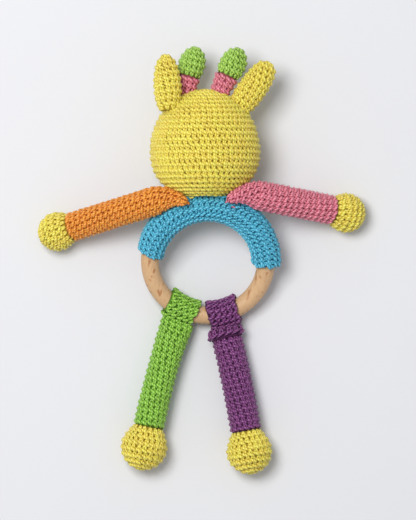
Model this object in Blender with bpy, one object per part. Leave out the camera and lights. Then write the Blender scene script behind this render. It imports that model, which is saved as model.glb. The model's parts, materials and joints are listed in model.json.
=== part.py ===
"""Crocheted giraffe rattle on a wooden teething ring, lying on its front.

The toy lies flat: +X towards the pink arm, +Y towards the crown of the head, +Z up.
A beech ring is held in a crocheted sleeve. The head and the arms are sewn to the sleeve,
and each leg hangs from a crocheted loop that slides round the bare wood. Every crocheted
piece is a shell with an opening where it is sewn on, with its stuffing as a solid inside.
Lengths in the tables are millimetres in the plane that the toy lies in, measured from the
middle of the ring; MM turns them into metres.
"""

from math import atan2, cos, pi, radians, sin, sqrt

import bmesh
import bpy
from mathutils import Matrix, Vector

MM = 0.001
UP = Vector((0, 0, 1))

WALL = 2.2             # thickness of the crocheted fabric
GAP = 0.3              # clearance between pieces that touch
YARN = 0.35            # radius of the sewing yarn
YARN_SIDES = 6
SIDES = 12             # facets round a limb
SHARP_ANGLE = radians(50)
INNER_SHARE = 0.35     # share of its radius that a piece narrower than its wall keeps inside

# The ring stands on its lower edge and leans on the head, so it is tilted about X.
RING_RADIUS = 30.3
RING_SECTION = 4.7
RING_TILT = radians(20)
RING_HEIGHT = 17.9

# The sleeve is a strip folded round the wood and sewn shut on the inside of the ring.
SLEEVE_OUTER = 7.3
SLEEVE_INNER = 5.15
SLEEVE_START = radians(-4.5)
SLEEVE_END = radians(177.5)
SEAM_HALF_ANGLE = radians(8)
SEAM_MARGIN = radians(2)

# The head is turned about an axis along Y, deeper above its widest circle than below it.
HEAD_CENTRE = (-1.6, 57.2, 27.2)
HEAD_RADIUS = 28.0
HEAD_UPPER = 31.4
HEAD_LOWER = 24.0
HEAD_LOWER_POWER = 2.3
NECK_OPENING = 12.6
NECK_HEIGHT = 35.6     # where the whipping lies, just inside the neck opening
NECK_WHIPPING = 10.6
HEAD_SIDES = 32
STUFFING_SIDES = 20
STUFFING_SLACK = 0.4
POCKET_CHANNEL = 4.0
HEAD_CLEARANCE = 1.6   # room that the ears and horns need to bend on the head

RATTLE_OUTER = 12.0
RATTLE_INNER = 10.8
RATTLE_CENTRE = (-1.6, 59.6, 27.2)
RATTLE_SIDES = 16
BEAD_RADIUS = 2.2
BEAD_RING = 4.2
BEADS = 4

EAR_BASE = 4.9
EAR_RADIUS = 7.1
EAR_WIDEST = 0.46      # where the ear is widest, as a share of its length
EAR_FLATNESS = 0.86
EAR_FULLNESS = 0.8
ROOT_DEPTH = 2.0       # how far an ear or horn starts below its sewing line

HORN_BASE = 4.7
HORN_STEM = 5.9        # where the pink stem meets the green bulb
HORN_BULB = 6.5
HORN_BULB_LENGTH = 8.2
HORN_CHANGE = 6.4      # from the bulb's middle back to the change of colour

ARM_RADIUS = 7.05
HAND_RADIUS = 9.66
HAND_NECK = 8.0        # from the hand's middle back to the change of colour
SHOULDER_HEIGHT = 40.2
SHOULDER_TIP = 1.7
SHOULDER_TAPER = 18.0
SHOULDER_BEND = 15.0   # the gathered tip curves towards the legs over this length
SHOULDER_DRIFT = 7.0
SHOULDER_FLATNESS = 0.62
SHOULDER_FLAT_FROM = 4.0
SHOULDER_FLAT_OVER = 22.0
TIE_RADIUS = 2.0       # the bridge of yarn over the gathered tip
TIE_LEGWARDS = 6.6
TIE_DROP = 3.2
TIE_INWARD = 3.6

LEG_RADIUS = 7.5
FOOT_NECK = 10.6
LEG_CLEARANCE = 8.3    # radius about the ring's section that the leg's top end keeps to
LEG_TOP_FLATNESS = 0.6
LEG_FLAT_FROM = 6.0
LEG_FLAT_OVER = 14.0
SADDLE_REACH = 0.9     # share of the clearance radius that the saddle wraps over
LOOP_OUTER = 7.0
LOOP_HALF_ANGLE = radians(14.2)
LOOP_STITCH_SHARE = 0.8

# base and tip of each ear and horn
EARS = {
    "left_ear": ((-20.4, 79.4, 37.5), (-21.9, 106.2, 35.5)),
    "right_ear": ((15.4, 78.8, 29.0), (32.0, 102.2, 28.0)),
}
HORNS = {
    "left_horn": ((-12.4, 82.6, 25.0), (-6.1, 110.6, 24.5)),
    "right_horn": ((5.6, 84.4, 27.5), (16.6, 109.8, 27.5)),
}
# gathered tip and hand centre of each arm
ARMS = {
    "left": ((-11.4, 36.1), (-78.8, 15.4), "orange_cotton"),
    "right": ((10.2, 37.2), (72.3, 25.3), "pink_cotton"),
}
# place on the ring, foot centre, foot radius and power of the sideways drift of each leg
LEGS = {
    "left": (radians(242), (-33.3, -97.1), 11.7, 1.28, "green_cotton"),
    "right": (radians(284), (21.6, -99.6), 11.4, 2.5, "purple_cotton"),
}

COLOURS = {
    "beech": ((0.68, 0.46, 0.26), 0.5),
    "blue_cotton": ((0.045, 0.39, 0.60), 0.8),
    "yellow_cotton": ((0.87, 0.68, 0.08), 0.8),
    "orange_cotton": ((0.83, 0.22, 0.02), 0.8),
    "pink_cotton": ((0.68, 0.12, 0.19), 0.8),
    "green_cotton": ((0.19, 0.52, 0.045), 0.8),
    "purple_cotton": ((0.19, 0.035, 0.20), 0.8),
    "white_fibre": ((0.85, 0.85, 0.83), 0.9),
    "rattle_plastic": ((0.80, 0.82, 0.85), 0.35),
    "bead_plastic": ((0.30, 0.32, 0.36), 0.35),
}


def millimetres(x, y, z):
    return Vector((x, y, z)) * MM


def material(name):
    found = bpy.data.materials.get(name)
    if found:
        return found
    colour, roughness = COLOURS[name]
    made = bpy.data.materials.new(name)
    made.use_nodes = True
    shader = made.node_tree.nodes["Principled BSDF"]
    shader.inputs["Base Color"].default_value = (*colour, 1)
    shader.inputs["Roughness"].default_value = roughness
    shader.inputs["Metallic"].default_value = 0.0
    return made


def frame_at(name, origin, along, parent, side=None):
    """An empty whose Y axis runs along a piece, with X across it and Z on its upper side."""
    empty = bpy.data.objects.new(name, None)
    empty.empty_display_size = 5 * MM
    bpy.context.scene.collection.objects.link(empty)
    along = along.normalized()
    across = (side or along.cross(UP)).normalized()
    lift = across.cross(along)
    turn = Matrix((across, along, lift)).transposed().to_4x4()
    empty.parent = parent
    empty.matrix_world = Matrix.Translation(origin) @ turn
    return empty


def ring_frame(root):
    """The empty in the middle of the ring, with Z on the ring's axis."""
    along = Vector((0, cos(RING_TILT), sin(RING_TILT)))
    return frame_at("ring_centre", millimetres(0, 0, RING_HEIGHT), along, root)


def finish_mesh(name, shape):
    bmesh.ops.recalc_face_normals(shape, faces=shape.faces)
    mesh = bpy.data.meshes.new(name)
    shape.to_mesh(mesh)
    shape.free()
    mesh.shade_smooth()
    mesh.set_sharp_from_angle(angle=SHARP_ANGLE)
    return mesh


def add_object(name, shape, colour, parent):
    mesh = finish_mesh(name, shape)
    mesh.materials.append(material(colour))
    obj = bpy.data.objects.new(name, mesh)
    bpy.context.scene.collection.objects.link(obj)
    obj.parent = parent
    return obj


def loft(sections, closed=False, caps=False):
    """Skin a row of rings, in millimetres; a section of one point is a pole."""
    shape = bmesh.new()
    rows = [[shape.verts.new(point * MM) for point in section] for section in sections]
    pairs = list(zip(rows, rows[1:]))
    if closed:
        pairs.append((rows[-1], rows[0]))
    for low, high in pairs:
        count = max(len(low), len(high))
        for i in range(count):
            j = (i + 1) % count
            corners = [low[i % len(low)], low[j % len(low)], high[j % len(high)], high[i % len(high)]]
            shape.faces.new(list(dict.fromkeys(corners)))
    if caps:
        shape.faces.new(rows[0])
        shape.faces.new(rows[-1])
    return shape


def hoop(centre, direction, radius, flatness=1.0, sides=SIDES):
    """A ring of points round a place on a limb, level across and flattened upwards."""
    across = direction.cross(UP).normalized()
    lift = across.cross(direction).normalized()
    points = []
    for i in range(sides):
        turn = 2 * pi * i / sides
        points.append(centre + across * radius * cos(turn) + lift * radius * flatness * sin(turn))
    return points


def inset(profile, amount, least=INNER_SHARE):
    """Move a profile of (distance along, radius) points inwards, square to itself.

    Where the piece is narrower than its wall, least is the share of its radius that stays."""
    moved = []
    for i, (along, radius) in enumerate(profile):
        before = Vector(profile[max(i - 1, 0)])
        after = Vector(profile[min(i + 1, len(profile) - 1)])
        run = (after - before).normalized()
        if radius == 0:
            moved.append((along - amount if run.x > 0 else along + amount, 0))
        else:
            moved.append((along + run.y * amount, max(radius - run.x * amount, least * radius)))
    return moved


def blend(low, high, share):
    """A soft step from low to high as share runs from 0 to 1."""
    share = min(max(share, 0), 1)
    return low + (high - low) * share * share * (3 - 2 * share)


def ball_end(middle, radius, length, steps=5, fullness=1.0):
    """The last quarter of a ball's profile, from its widest circle to its pole."""
    turns = [pi / 2 * i / steps for i in range(steps)]
    circles = [(middle + length * sin(t), radius * cos(t) ** fullness) for t in turns]
    return circles + [(middle + length, 0)]


class Limb:
    """A soft piece that follows a curve, given by a profile of (distance, radius) points."""

    def __init__(self, path, length, flatness=lambda along: 1.0):
        self.path = path
        self.length = length
        self.flatness = flatness

    def place(self, along):
        share = min(max(along / self.length, 0), 1)
        centre = self.path(share)
        step = 0.01
        run = (self.path(min(share + step, 1)) - self.path(max(share - step, 0))).normalized()
        return centre + run * (along - share * self.length), run

    def rings(self, profile):
        sections = []
        for along, radius in profile:
            centre, run = self.place(along)
            if radius == 0:
                sections.append([centre])
            else:
                sections.append(hoop(centre, run, radius, self.flatness(along)))
        return sections

    def shell(self, profile):
        """A closed far end, or an open one when the profile doesn't end in a pole."""
        outside = self.rings(profile)
        inside = self.rings(inset(profile, WALL))
        return loft(inside[::-1] + outside, closed=profile[-1][1] > 0)

    def filling(self, profile):
        """The stuffing: flat where the piece is open, round where it ends."""
        shape = loft(self.rings(inset(profile, WALL + GAP, INNER_SHARE / 2)))
        shape.verts.ensure_lookup_table()
        shape.faces.new(shape.verts[:SIDES])
        return shape


def straight(length):
    return lambda share: Vector((0, length * share, 0))


def drifting(end, power):
    """A curve that sets off along Y and drifts sideways and up until it reaches its end."""
    return lambda share: Vector((end.x * share ** power, end.y * share, end.z * share))


def gathered(length, drift):
    """A straight curve whose first stretch swings aside, by drift at its very start."""
    def centre(share):
        along = length * share
        near = max(1 - along / SHOULDER_BEND, 0)
        return Vector((drift * near * near, along, 0))

    return centre


def yarn_run(centres, outs, squares, closed=False):
    """A length of yarn through centres, with out and square the two ways across each."""
    sections = []
    for centre, out, square in zip(centres, outs, squares):
        section = []
        for i in range(YARN_SIDES):
            turn = 2 * pi * i / YARN_SIDES
            section.append(centre + (out * cos(turn) + square * sin(turn)) * YARN)
        sections.append(section)
    return loft(sections, closed=closed, caps=not closed)


# The ring, its sleeve and the loops, all turned about the ring's axis

def section_point(radius, turn, place):
    """A point at a radius and turn in the ring's section, at a place round the ring."""
    reach = RING_RADIUS + radius * cos(turn)
    return Vector((reach * cos(place), reach * sin(place), radius * sin(turn)))


def circle_section(radius, place, sides):
    return [section_point(radius, 2 * pi * i / sides, place) for i in range(sides)]


def teething_ring(frame):
    steps = 48
    sections = [circle_section(RING_SECTION, 2 * pi * i / steps, SIDES) for i in range(steps)]
    add_object("teething_ring", loft(sections, closed=True), "beech", frame)


def sleeve_section(place, steps=14):
    """The folded strip: a C that is open towards the middle of the ring."""
    start = -pi + SEAM_HALF_ANGLE
    turns = [start + 2 * (pi - SEAM_HALF_ANGLE) * i / (steps - 1) for i in range(steps)]
    outside = [section_point(SLEEVE_OUTER, turn, place) for turn in turns]
    inside = [section_point(SLEEVE_INNER, turn, place) for turn in reversed(turns)]
    return outside + inside


def ring_cover(frame):
    steps = 26
    places = [SLEEVE_START + (SLEEVE_END - SLEEVE_START) * i / steps for i in range(steps + 1)]
    shape = loft([sleeve_section(place) for place in places], caps=True)
    add_object("ring_cover", shape, "blue_cotton", frame)


def round_the_ring(radius, turn, start, end, steps):
    """Yarn at one place in the ring's section, from one place round the ring to another."""
    places = [start + (end - start) * i / steps for i in range(steps + 1)]
    centres = [section_point(radius, turn, place) for place in places]
    outs = [Vector((cos(place), sin(place), 0)) for place in places]
    return yarn_run(centres, outs, [UP] * len(places))


def ring_cover_seam(frame):
    """The yarn that closes the strip, lying in its slit."""
    middle = (SLEEVE_OUTER + SLEEVE_INNER) / 2
    start, end = SLEEVE_START + SEAM_MARGIN, SLEEVE_END - SEAM_MARGIN
    shape = round_the_ring(middle, pi, start, end, steps=24)
    add_object("ring_cover_seam", shape, "blue_cotton", frame)


def leg_loop(side, place, colour, frame):
    """A band of crochet round the ring, sewn to the top of its leg."""
    steps = 5
    sides = 16
    places = [LOOP_HALF_ANGLE * (2 * i / steps - 1) for i in range(steps + 1)]
    outside = [circle_section(LOOP_OUTER, at, sides) for at in places]
    inside = [circle_section(SLEEVE_INNER, at, sides) for at in reversed(places)]
    shape = loft(outside + inside, closed=True)
    obj = add_object(side + "_leg_loop", shape, colour, frame)
    obj.rotation_euler.z = place


def loop_stitches(side, place, colour, frame):
    """The yarn that joins a loop to its leg, just outside the band."""
    reach = (LOOP_OUTER + LEG_CLEARANCE) / 2
    half = LOOP_HALF_ANGLE * LOOP_STITCH_SHARE
    shape = round_the_ring(reach, RING_TILT, -half, half, steps=5)
    obj = add_object(side + "_loop_stitches", shape, colour, frame)
    obj.rotation_euler.z = place


# The head

def head_profile(opening=NECK_OPENING, grow=0.0):
    """(height along the head, radius) points, from the neck opening to the crown."""
    power = 2 / HEAD_LOWER_POWER
    radius = HEAD_RADIUS + grow
    last = (opening / radius) ** (1 / power)
    lower = []
    steps = 6
    for i in range(steps):
        wide = last + (1 - last) * sin(pi / 2 * i / steps)
        deep = sqrt(max(1 - wide * wide, 0))
        lower.append((-(HEAD_LOWER + grow) * deep ** power, radius * wide ** power))
    return lower + ball_end(0, radius, HEAD_UPPER + grow, steps=7)


def turned(profile, sides=HEAD_SIDES):
    """Rings about the Y axis through the head's middle."""
    sections = []
    for along, radius in profile:
        if radius == 0:
            sections.append([Vector((0, along, 0))])
        else:
            sections.append(hoop(Vector((0, along, 0)), Vector((0, 1, 0)), radius, sides=sides))
    return sections


def head_frame(root):
    """The empty that the head nods about: the middle of the ring's section at its top."""
    lift = RING_RADIUS * sin(RING_TILT)
    origin = millimetres(0, RING_RADIUS * cos(RING_TILT), RING_HEIGHT + lift)
    return frame_at("head_pivot", origin, Vector((0, 1, 0)), root)


def offset_in(frame, centre):
    return millimetres(*centre) - frame.matrix_world.translation


def head_cover(frame):
    profile = head_profile()
    outside = turned(profile)
    inside = turned(inset(profile, WALL))
    shape = loft(inside[::-1] + outside)
    geometry = shape.verts[:] + shape.edges[:] + shape.faces[:]
    floor = Vector((0, 0, -HEAD_CENTRE[2] * MM))
    cut = bmesh.ops.bisect_plane(
        shape, geom=geometry, plane_co=floor, plane_no=-UP, clear_outer=True)
    rim = [item for item in cut["geom_cut"] if isinstance(item, bmesh.types.BMEdge)]
    bmesh.ops.contextual_create(shape, geom=rim)
    obj = add_object("head_cover", shape, "yellow_cotton", frame)
    obj.location = offset_in(frame, HEAD_CENTRE)


def head_stuffing(frame):
    """One mass of fibre with a pocket for the rattle, open down to the neck."""
    outside = turned(inset(head_profile(), WALL + GAP + STUFFING_SLACK), STUFFING_SIDES)
    middle = RATTLE_CENTRE[1] - HEAD_CENTRE[1]
    pocket = RATTLE_OUTER + 2 * GAP
    neck = outside[0][0].y
    first = atan2(-sqrt(pocket ** 2 - POCKET_CHANNEL ** 2), POCKET_CHANNEL)
    steps = 6
    inner = [(neck, POCKET_CHANNEL)]
    for i in range(steps):
        turn = first + (pi / 2 - first) * i / steps
        inner.append((middle + pocket * sin(turn), pocket * cos(turn)))
    inner.append((middle + pocket, 0))
    shape = loft(turned(inner, STUFFING_SIDES)[::-1] + outside)
    floor = (WALL + GAP - HEAD_CENTRE[2]) * MM
    for vertex in shape.verts:
        vertex.co.z = max(vertex.co.z, floor)
    obj = add_object("head_stuffing", shape, "white_fibre", frame)
    obj.location = offset_in(frame, HEAD_CENTRE)


def rattle_shell(name, side, frame):
    """Half of the plastic capsule, a cup that is open at the capsule's middle."""
    lip = GAP / 2
    outside = [(lip, RATTLE_OUTER)] + ball_end(0, RATTLE_OUTER, RATTLE_OUTER)[1:]
    inside = [(lip, RATTLE_INNER)] + ball_end(0, RATTLE_INNER, RATTLE_INNER)[1:]
    shape = loft(turned(inside, RATTLE_SIDES)[::-1] + turned(outside, RATTLE_SIDES))
    obj = add_object(name, shape, "rattle_plastic", frame)
    obj.location = offset_in(frame, RATTLE_CENTRE)
    obj.rotation_euler.x = side * pi / 2


def rattle_bead(number, frame):
    """A bead on the floor of the capsule, free to fly up to its roof."""
    turn = 2 * pi * (number + 0.5) / BEADS
    room = RATTLE_INNER - BEAD_RADIUS - GAP
    drop = sqrt(room ** 2 - BEAD_RING ** 2)
    shape = bmesh.new()
    bmesh.ops.create_icosphere(shape, subdivisions=2, radius=BEAD_RADIUS * MM)
    name = "rattle_bead_" + str(number + 1)
    obj = add_object(name, shape, "bead_plastic", frame)
    place = millimetres(BEAD_RING * cos(turn), BEAD_RING * sin(turn), -drop)
    obj.location = offset_in(frame, RATTLE_CENTRE) + place


def neck_stitches(root):
    """A turn of yarn in the neck opening, between the head and the sleeve."""
    steps = 20
    middle = Vector((HEAD_CENTRE[0], NECK_HEIGHT, HEAD_CENTRE[2]))
    turns = [2 * pi * i / steps for i in range(steps)]
    outs = [Vector((cos(turn), 0, sin(turn))) for turn in turns]
    centres = [middle + out * NECK_WHIPPING for out in outs]
    shape = yarn_run(centres, outs, [Vector((0, 1, 0))] * steps, closed=True)
    add_object("neck_stitches", shape, "yellow_cotton", root)


def head_clearance(root):
    """The space round the head that the ears and horns stay out of."""
    profile = [(-HEAD_LOWER, 0)] + head_profile(4, HEAD_CLEARANCE)
    cutter = add_object("head_clearance", loft(turned(profile)), "yellow_cotton", root)
    cutter.location = millimetres(*HEAD_CENTRE)
    cutter.hide_render = True
    cutter.display_type = 'WIRE'
    return cutter


def cut_by(obj, cutter):
    modifier = obj.modifiers.new("seat", 'BOOLEAN')
    modifier.operation = 'DIFFERENCE'
    modifier.solver = 'EXACT'
    modifier.object = cutter


# Ears and horns, sewn to the head

def crown_frame(name, base, tip, frame):
    start = millimetres(*base)
    return frame_at(name + "_pivot", start, millimetres(*tip) - start, frame)


def ear(name, base, tip, frame, cutter):
    """A plump leaf: narrow where it is sewn on, widest below its middle, and round-tipped."""
    length = (Vector(tip) - Vector(base)).length
    widest = length * EAR_WIDEST
    steps = 4
    profile = []
    for i in range(steps):
        share = i / steps
        radius = EAR_BASE + (EAR_RADIUS - EAR_BASE) * sin(pi / 2 * share)
        profile.append((widest * share - ROOT_DEPTH, radius))
    profile += ball_end(widest, EAR_RADIUS, length - widest, fullness=EAR_FULLNESS)
    pivot = crown_frame(name, base, tip, frame)
    limb = Limb(straight(length), length, lambda along: EAR_FLATNESS)
    cover = add_object(name, limb.shell(profile), "yellow_cotton", pivot)
    core = add_object(name + "_stuffing", limb.filling(profile), "white_fibre", pivot)
    for obj in (cover, core):
        cut_by(obj, cutter)


def horn(name, base, tip, frame, cutter):
    """A pink stem with a green bulb, worked in one piece and changing colour."""
    length = (Vector(tip) - Vector(base)).length
    middle = length - HORN_BULB_LENGTH
    change = middle - HORN_CHANGE
    neck = (HORN_STEM + HORN_BULB) / 2
    stem = [(-ROOT_DEPTH, HORN_BASE), (change * 0.5, (HORN_BASE + HORN_STEM) / 2)]
    bulb = [(middle - HORN_CHANGE / 2, neck)]
    bulb += ball_end(middle, HORN_BULB, HORN_BULB_LENGTH)
    pivot = crown_frame(name, base, tip, frame)
    limb = Limb(straight(length), length)
    lower = stem + [(change - GAP / 2, HORN_STEM)]
    upper = [(change + GAP / 2, HORN_STEM)] + bulb
    whole = stem + [(change, HORN_STEM)] + bulb
    stem_cover = add_object(name + "_stem", limb.shell(lower), "pink_cotton", pivot)
    add_object(name + "_tip", limb.shell(upper), "green_cotton", pivot)
    core = add_object(name + "_stuffing", limb.filling(whole), "white_fibre", pivot)
    for obj in (stem_cover, core):
        cut_by(obj, cutter)


# Arms and legs

def limb_end(middle, neck, radius, end_radius, steps=3):
    """The swelling from a limb's tube to the widest circle of its hand or foot, and on."""
    profile = []
    for i in range(steps):
        share = i / steps
        profile.append((middle - neck * (1 - share), blend(radius, end_radius, share ** 0.8)))
    return profile + ball_end(middle, end_radius, end_radius)


def add_limb(side, kind, end, limb, tube, ball, colour, pivot):
    """The tube, the ball at its end and the stuffing that fills both."""
    change = ball[0][0]
    lower = tube + [(change - GAP / 2, ball[0][1])]
    upper = [(change + GAP / 2, ball[0][1])] + ball[1:]
    name = side + "_" + kind
    cover = add_object(name, limb.shell(lower), colour, pivot)
    add_object(side + "_" + end, limb.shell(upper), "yellow_cotton", pivot)
    core = add_object(name + "_stuffing", limb.filling(tube + ball), "white_fibre", pivot)
    return cover, core


def arm(side, pivot_plan, hand, colour, root):
    """An arm gathered to a flat tip on the sleeve, sloping down to a hand on the table."""
    origin = millimetres(*pivot_plan, SHOULDER_HEIGHT)
    reach = millimetres(*hand, HAND_RADIUS) - origin
    length = reach.length / MM
    pivot = frame_at(side + "_arm_pivot", origin, reach, root)
    drift = -SHOULDER_DRIFT if side == "left" else SHOULDER_DRIFT

    def flatness(along):
        return blend(SHOULDER_FLATNESS, 1, (along - SHOULDER_FLAT_FROM) / SHOULDER_FLAT_OVER)

    limb = Limb(gathered(length, drift), length, flatness)
    steps = 4
    tube = []
    for i in range(steps + 1):
        share = i / steps
        radius = SHOULDER_TIP + (ARM_RADIUS - SHOULDER_TIP) * share ** 0.9
        tube.append((SHOULDER_TAPER * share, radius))
    tube += [(length * 0.45, ARM_RADIUS), (length * 0.68, ARM_RADIUS)]
    ball = limb_end(length, HAND_NECK, ARM_RADIUS, HAND_RADIUS)
    add_limb(side, "arm", "hand", limb, tube, ball, colour, pivot)


def arm_stitches(side, pivot_plan, colour, root):
    """A short bridge of yarn over the gathered tip of an arm, down to the sleeve."""
    inward = TIE_INWARD if side == "left" else -TIE_INWARD
    middle = Vector((*pivot_plan, SHOULDER_HEIGHT)) + Vector((inward, -TIE_LEGWARDS, -TIE_DROP))
    steps = 6
    turns = [pi * i / steps for i in range(steps + 1)]
    outs = [Vector((0, cos(turn), sin(turn))) for turn in turns]
    centres = [middle + out * TIE_RADIUS for out in outs]
    shape = yarn_run(centres, outs, [Vector((1, 0, 0))] * len(turns))
    add_object(side + "_arm_stitches", shape, colour, root)


def leg(side, place, foot, foot_radius, bend, colour, root, ring):
    """A leg that starts as a saddle round its loop and ends in a foot on the table."""
    to_world = ring.matrix_world
    origin = to_world @ (section_point(0, 0, place) * MM)
    tangent = to_world.to_3x3() @ Vector((sin(place), -cos(place), 0))
    outward = UP.cross(tangent)
    pivot = frame_at(side + "_leg_pivot", origin, outward, root, side=tangent)
    bpy.context.view_layer.update()
    end = pivot.matrix_world.inverted() @ millimetres(*foot, foot_radius) / MM
    path = drifting(end, bend)
    length = end.length

    def flatness(along):
        return blend(LEG_TOP_FLATNESS, 1, (along - LEG_FLAT_FROM) / LEG_FLAT_OVER)

    limb = Limb(path, length, flatness)
    start = LEG_CLEARANCE
    stops = (start, start + 4.5, start + 10, length * 0.55)
    tube = [(along, LEG_RADIUS) for along in stops]
    ball = limb_end(length, FOOT_NECK, LEG_RADIUS, foot_radius)
    cover, core = add_limb(side, "leg", "foot", limb, tube, ball, colour, pivot)
    rims = {cover: LEG_CLEARANCE * MM, core: (LEG_CLEARANCE + GAP) * MM}
    for obj, radius in rims.items():
        for vertex in obj.data.vertices:
            if vertex.co.y < (start + WALL) * MM:
                high = min(abs(vertex.co.z), SADDLE_REACH * radius)
                vertex.co.y = sqrt(radius ** 2 - high ** 2)


def lowest_middle():
    """The middle of the toy's footprint, at its lowest point."""
    bpy.context.view_layer.update()
    depsgraph = bpy.context.evaluated_depsgraph_get()
    points = []
    for obj in bpy.data.objects:
        if obj.type == 'MESH' and not obj.hide_render:
            world = obj.matrix_world
            points += [world @ vertex.co for vertex in obj.evaluated_get(depsgraph).data.vertices]
    low = [min(point[i] for point in points) for i in range(3)]
    high = [max(point[i] for point in points) for i in range(3)]
    return Vector(((low[0] + high[0]) / 2, (low[1] + high[1]) / 2, low[2]))


def build():
    for obj in list(bpy.data.objects):
        bpy.data.objects.remove(obj)
    root = bpy.data.objects.new("rattle_origin", None)
    bpy.context.scene.collection.objects.link(root)

    ring = ring_frame(root)
    bpy.context.view_layer.update()
    teething_ring(ring)
    ring_cover(ring)
    ring_cover_seam(ring)

    head = head_frame(root)
    cutter = head_clearance(root)
    bpy.context.view_layer.update()
    head_cover(head)
    head_stuffing(head)
    rattle_shell("rattle_shell_upper", 1, head)
    rattle_shell("rattle_shell_lower", -1, head)
    for number in range(BEADS):
        rattle_bead(number, head)
    neck_stitches(root)
    for name, (base, tip) in EARS.items():
        ear(name, base, tip, head, cutter)
    for name, (base, tip) in HORNS.items():
        horn(name, base, tip, head, cutter)

    for side, (pivot_plan, hand, colour) in ARMS.items():
        arm(side, pivot_plan, hand, colour, root)
        arm_stitches(side, pivot_plan, colour, root)
    for side, (place, foot, foot_radius, bend, colour) in LEGS.items():
        leg_loop(side, place, colour, ring)
        loop_stitches(side, place, colour, ring)
        leg(side, place, foot, foot_radius, bend, colour, root, ring)

    root.location = -lowest_middle()
    bpy.context.view_layer.update()


build()
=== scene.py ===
"""Crocheted giraffe rattle on a beech teething ring, finished for display.

Every crocheted piece is laid stitch by stitch. A smooth form is worked out from the frame and
swollen by its stuffing in a short cloth simulation. Each stitch is then a V of twisted cotton
yarn on that form, over a dark sheet of painted shade that shows through between the stitches.
Lengths are metres, +X runs towards the pink arm, +Y towards the crown and +Z up.
"""

import json
from math import pi, radians, sin

import bpy
import numpy as np
from bpy.props import FloatProperty, FloatVectorProperty, IntProperty, PointerProperty
from bpy.types import Operator, Panel, PropertyGroup
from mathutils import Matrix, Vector


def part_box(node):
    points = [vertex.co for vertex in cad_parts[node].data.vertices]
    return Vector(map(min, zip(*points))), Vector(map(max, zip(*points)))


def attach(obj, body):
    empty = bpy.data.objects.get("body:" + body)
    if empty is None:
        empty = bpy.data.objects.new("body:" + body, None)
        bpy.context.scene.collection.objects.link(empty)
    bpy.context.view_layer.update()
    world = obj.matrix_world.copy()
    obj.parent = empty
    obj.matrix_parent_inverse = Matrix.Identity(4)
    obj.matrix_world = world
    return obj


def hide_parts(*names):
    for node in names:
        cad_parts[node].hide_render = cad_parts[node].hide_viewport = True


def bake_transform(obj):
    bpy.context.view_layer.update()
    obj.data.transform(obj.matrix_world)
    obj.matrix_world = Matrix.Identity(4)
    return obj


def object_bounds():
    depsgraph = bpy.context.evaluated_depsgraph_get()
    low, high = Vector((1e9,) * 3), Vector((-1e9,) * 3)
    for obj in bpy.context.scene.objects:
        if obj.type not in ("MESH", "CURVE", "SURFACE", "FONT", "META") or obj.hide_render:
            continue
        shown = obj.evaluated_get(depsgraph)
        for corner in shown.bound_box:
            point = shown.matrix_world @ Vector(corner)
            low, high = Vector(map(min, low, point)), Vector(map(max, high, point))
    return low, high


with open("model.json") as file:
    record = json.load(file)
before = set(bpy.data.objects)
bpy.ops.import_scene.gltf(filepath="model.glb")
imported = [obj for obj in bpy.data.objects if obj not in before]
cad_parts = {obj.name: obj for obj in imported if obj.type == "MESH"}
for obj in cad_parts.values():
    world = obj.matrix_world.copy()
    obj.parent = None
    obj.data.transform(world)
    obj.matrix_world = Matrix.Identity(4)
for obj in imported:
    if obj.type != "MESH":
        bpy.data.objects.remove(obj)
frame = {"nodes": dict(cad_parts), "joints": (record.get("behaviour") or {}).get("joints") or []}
cad_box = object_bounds()

bl_info = {
    "name": "Crocheted Giraffe Rattle",
    "version": (1, 0, 0),
    "blender": (4, 5, 0),
    "location": "View3D > Sidebar > Rattle",
    "description": "Builds a crocheted giraffe rattle, stitch by stitch, round its packed frame",
    "category": "Object",
}

MM = 0.001
UP = np.array((0.0, 0.0, 1.0))
PLIES = 3              # strands twisted into the yarn
PLY_RATE = 0.55        # crests of a ply for each yarn radius along it
RING_TURN = "ring_turn"


# What a user may change

def toy_size(name, description, millimetres):
    """A size of the toy's own, given in millimetres."""
    return FloatProperty(name=name, description=description, default=millimetres * MM,
                         unit='LENGTH', precision=5)


def toy_colour(name, description, tint):
    """A colour that a user may pick."""
    return FloatVectorProperty(name=name, description=description, subtype='COLOR', default=tint)


class YarnSizes(PropertyGroup):
    """The gauge of the crochet."""

    stitch_width: toy_size("Stitch width", "Width of one stitch along its round", 2.95)
    round_height: toy_size("Round height", "Height of one round of stitches", 3.25)
    yarn_radius: toy_size("Yarn radius", "Radius of the cotton yarn where it lies slack", 0.68)
    lean: FloatProperty(
        name="Lean", description="How far each stitch leans along its round, in stitches",
        default=0.14)
    # The sheet under the yarn is a dark sheet of painted shade, seen between the stitches.
    lining_depth: toy_size(
        "Lining depth", "How far the lining lies below the middle of the yarn", 0.6)
    yarn_sides: IntProperty(
        name="Yarn sides", description="Facets round the yarn", default=6, min=3)


class ToyColours(PropertyGroup):
    """The dyed cottons and the wood."""

    yellow: toy_colour("Yellow", "Head, ears, hands and feet", (1.0, 0.74, 0.085))
    orange: toy_colour("Orange", "Left arm", (1.0, 0.31, 0.016))
    pink: toy_colour("Pink", "Right arm and horn stems", (0.86, 0.225, 0.30))
    blue: toy_colour("Blue", "Ring sleeve", (0.075, 0.48, 0.67))
    green: toy_colour("Green", "Left leg", (0.28, 0.57, 0.045))
    lime: toy_colour("Lime", "Horn tips", (0.38, 0.63, 0.085))
    purple: toy_colour("Purple", "Right leg", (0.21, 0.032, 0.19))
    beech: toy_colour("Beech", "The teething ring", (0.72, 0.45, 0.235))
    beech_dark: toy_colour("Beech flecks", "Rays and pores of the beech", (0.42, 0.17, 0.06))


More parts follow.
